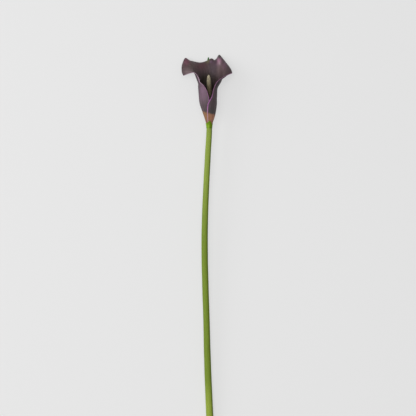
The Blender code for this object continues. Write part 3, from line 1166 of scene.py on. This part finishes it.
def soft_room(settings):
    """Soft light from all round, which is stronger low down."""
    world = bpy.data.worlds.new("soft_room")
    world.use_nodes = True
    tree = world.node_tree
    way = node(tree, "ShaderNodeTexCoord", output="Generated")
    low = between(tree, axes(tree, way)[2], 0.2, 0.02)
    strength = ramp(tree, low, settings.horizon - settings.sky, settings.sky)
    background = tree.nodes["Background"]
    tree.links.new(strength, background.inputs["Strength"])
    background.inputs["Color"].default_value = (1.0, 1.0, 1.0, 1.0)
    return world


def add_light(name, place, size, power):
    """A round soft light that points at the flower."""
    data = bpy.data.lights.new(name, "AREA")
    data.shape = "DISK"
    data.size = size
    data.energy = power
    lamp = put_in_scene(name, data)
    lamp.location = place
    lamp.rotation_euler = (Vector(place) - Vector(LIGHT_AIM)).to_track_quat("Z", "Y").to_euler()


def camera_above(settings):
    """A camera straight above, with the flower's head up in its view."""
    foot = laid_down().translation
    along, beside = VIEW_MIDDLE
    data = bpy.data.cameras.new("camera")
    data.lens = data.sensor_width * settings.distance / settings.field
    camera = put_in_scene("camera", data)
    camera.location = (foot.x + along, foot.y + beside, foot.z + settings.distance)
    camera.rotation_euler = (0.0, 0.0, -math.pi / 2)
    return camera


# ---------------------------------------------------------------- operators


class CALLA_OT_stage(bpy.types.Operator):
    """Lay the floor, light it softly and set the camera above the flower"""

    bl_idname = "calla.stage"
    bl_label = "Stage"

    def execute(self, context):
        settings = context.scene.calla.stage
        make_floor(settings)
        context.scene.world = soft_room(settings)
        add_light("top_light", (0.1, 0.4, 3.0), 2.4, settings.top)
        add_light("side_light", (0.3, 1.9, 1.2), 1.6, settings.side)
        context.scene.camera = camera_above(settings)
        context.scene.view_settings.view_transform = "Standard"
        return {"FINISHED"}


class CALLA_OT_stem(bpy.types.Operator):
    """Make the ribbed green stem with its cut end"""

    bl_idname = "calla.stem"
    bl_label = "Stem"

    def execute(self, context):
        settings = context.scene.calla.stem
        material = stem_material(settings)
        inputs = {"Spacing": settings.spacing, "Width": settings.vessel, "Seed": settings.seed}
        mesh = grown(make_stem(settings), vessel_nodes(material), inputs)
        add_piece("stem_rod", mesh, material, "stem_green", "stem")
        return {"FINISHED"}


class CALLA_OT_collar(bpy.types.Operator):
    """Make the lobed green collar round the foot of the spathe"""

    bl_idname = "calla.collar"
    bl_label = "Collar"

    def execute(self, context):
        settings = context.scene.calla.collar
        sleeve = make_collar(settings)
        add_piece("collar_sleeve", sleeve, collar_material(settings), "collar_green", "collar")
        return {"FINISHED"}


class CALLA_OT_spathe(bpy.types.Operator):
    """Make the dark leaf that forms the cup, and its green tip"""

    bl_idname = "calla.spathe"
    bl_label = "Spathe"

    def execute(self, context):
        settings = context.scene.calla.spathe
        leaf = make_spathe(settings)
        add_piece("spathe_leaf", leaf, spathe_material(settings), "spathe_purple", "spathe")
        add_piece("leaf_tail", make_tail(), tail_material(settings), "spathe_purple", "spathe")
        return {"FINISHED"}


class CALLA_OT_spadix(bpy.types.Operator):
    """Make the finger of florets in the cup"""

    bl_idname = "calla.spadix"
    bl_label = "Spadix"

    def execute(self, context):
        settings = context.scene.calla.spadix
        material = spadix_material(settings)
        inputs = {"Florets": settings.florets, "Width": settings.floret, "Seed": settings.seed}
        mesh = grown(spadix_body(), floret_nodes(material), inputs)
        add_piece("spadix_finger", mesh, material, "spadix_khaki", "spadix")
        return {"FINISHED"}


class CALLA_PT_panel(bpy.types.Panel):
    """Settings and buttons for the calla lily"""

    bl_idname = "CALLA_PT_panel"
    bl_label = "Calla lily"
    bl_space_type = "VIEW_3D"
    bl_region_type = "UI"
    bl_category = "Calla lily"

    def draw(self, context):
        settings = context.scene.calla
        for name in ("stage", "stem", "collar", "spathe", "spadix"):
            box = self.layout.box()
            group = getattr(settings, name)
            for prop in group.bl_rna.properties:
                if prop.identifier not in ("rna_type", "name"):
                    box.prop(group, prop.identifier)
            box.operator(f"calla.{name}")


CLASSES = (
    SpatheSettings,
    SpadixSettings,
    CollarSettings,
    StemSettings,
    StageSettings,
    CallaSettings,
    CALLA_OT_stage,
    CALLA_OT_stem,
    CALLA_OT_collar,
    CALLA_OT_spathe,
    CALLA_OT_spadix,
    CALLA_PT_panel,
)


def register():
    for item in CLASSES:
        bpy.utils.register_class(item)
    bpy.types.Scene.calla = PointerProperty(type=CallaSettings)


def unregister():
    del bpy.types.Scene.calla
    for item in reversed(CLASSES):
        bpy.utils.unregister_class(item)


def main():
    """Make the stage and the whole flower."""
    register()
    bpy.ops.calla.stage()
    bpy.ops.calla.stem()
    bpy.ops.calla.collar()
    bpy.ops.calla.spathe()
    bpy.ops.calla.spadix()


if __name__ == "__main__":
    main()
